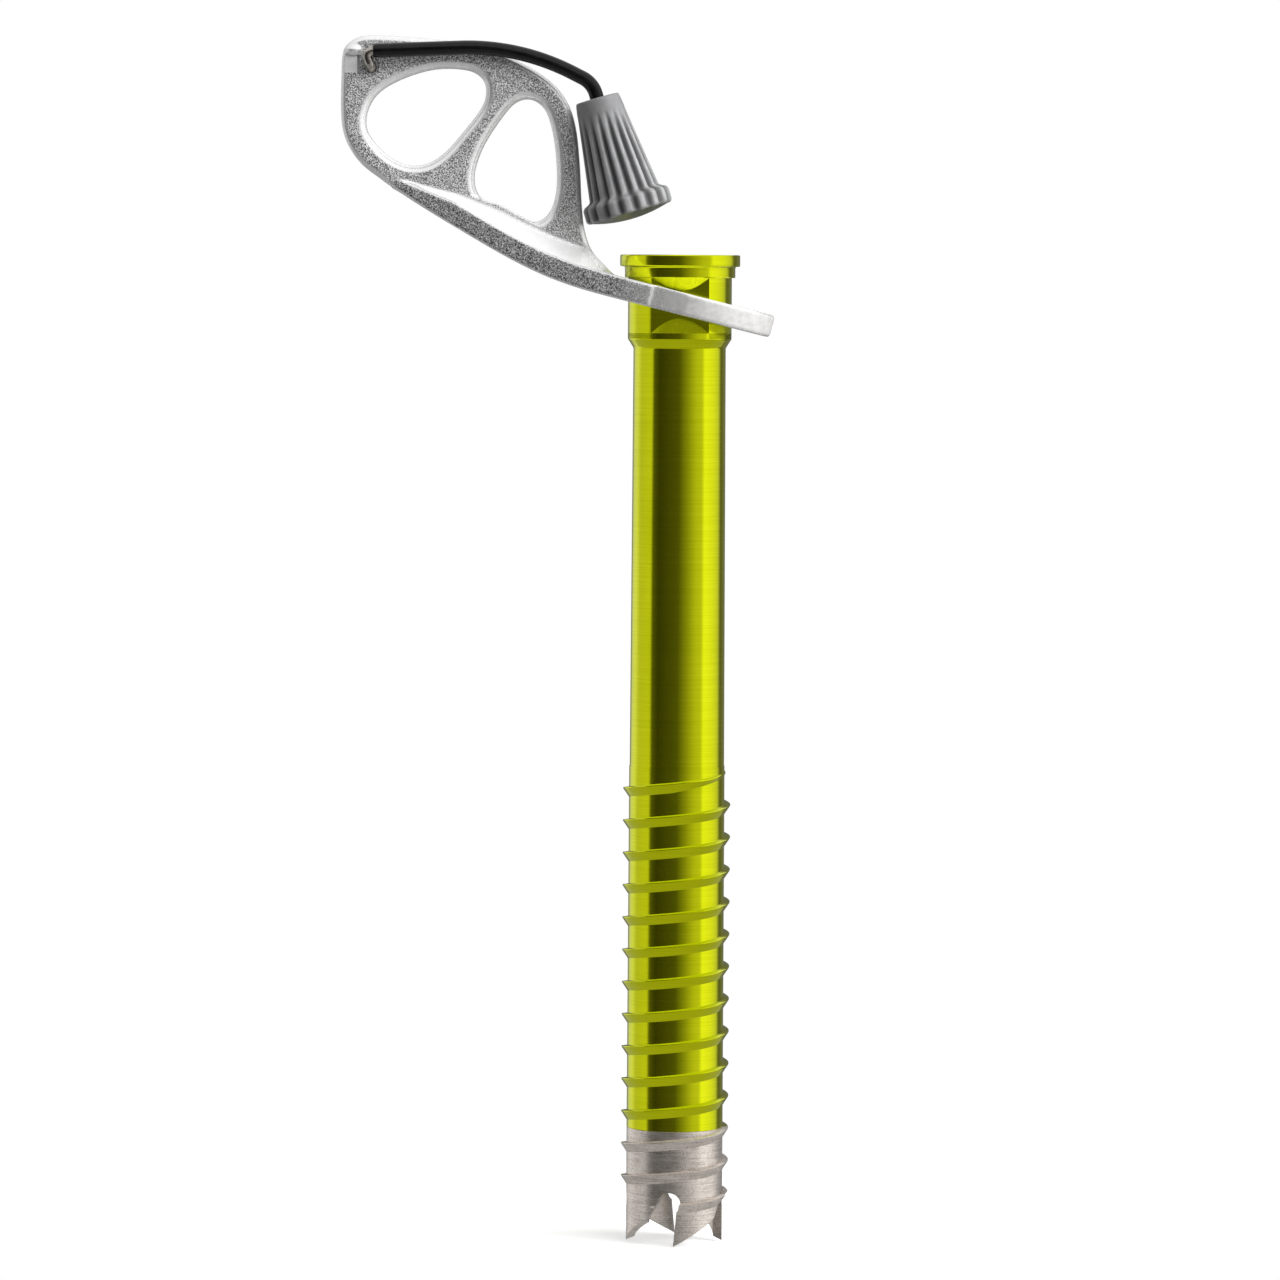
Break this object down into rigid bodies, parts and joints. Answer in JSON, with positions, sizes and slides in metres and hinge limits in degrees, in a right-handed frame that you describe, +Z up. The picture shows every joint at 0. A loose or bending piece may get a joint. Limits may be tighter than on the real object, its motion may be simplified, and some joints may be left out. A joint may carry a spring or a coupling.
{
  "type": "ice climbing screw",
  "caption": "Threaded ice climbing screw: bored anodised tube with steel cutting crown, forged hanger with clip eyes, folding wire crank and fluted knob.",
  "frame": {"origin": "centre of the flange's top face, on the tube's axis", "axes": "+Z up the tube away from the tip, +X away from the eye plate, -Y towards the side that carries the crank"},
  "size_m": [0.0894, 0.0332, 0.2487],
  "materials": {
    "anodised_tube": "satin yellow-green anodised aluminium",
    "tip_steel": "ground and brushed steel",
    "forged_aluminium": "blasted forged aluminium with polished edges",
    "wire_steel": "drawn steel",
    "black_plastic": "semi-gloss black plastic",
    "grey_plastic": "satin mid-grey plastic"
  },
  "bodies": {
    "screw": {"screw_tube": "anodised_tube", "steel_tip": "tip_steel"},
    "hanger": {"hanger": "forged_aluminium"},
    "crank": {"crank_wire": "wire_steel", "wire_sleeve": "black_plastic", "pivot_washer": "wire_steel", "knob_washer": "wire_steel"},
    "knob": {"crank_knob": "grey_plastic", "knob_cap": "grey_plastic"}
  },
  "joints": [
    {"name": "hanger_rock", "type": "hinge", "parent": "screw", "child": "hanger", "pos_m": [0, 0, -0.0099], "axis": [0, -1, 0], "range_deg": [0, 28]},
    {"name": "crank_fold", "type": "hinge", "parent": "hanger", "child": "crank", "pos_m": [-0.06362, 0, 0.03791], "axis": [0, -1, 0], "range_deg": [0, 165]},
    {"name": "knob_spin", "type": "hinge", "parent": "crank", "child": "knob", "pos_m": [-0.0173, -0.00365, 0.03193], "axis": [0.2807, 0, -0.9598], "continuous": true}
  ]
}
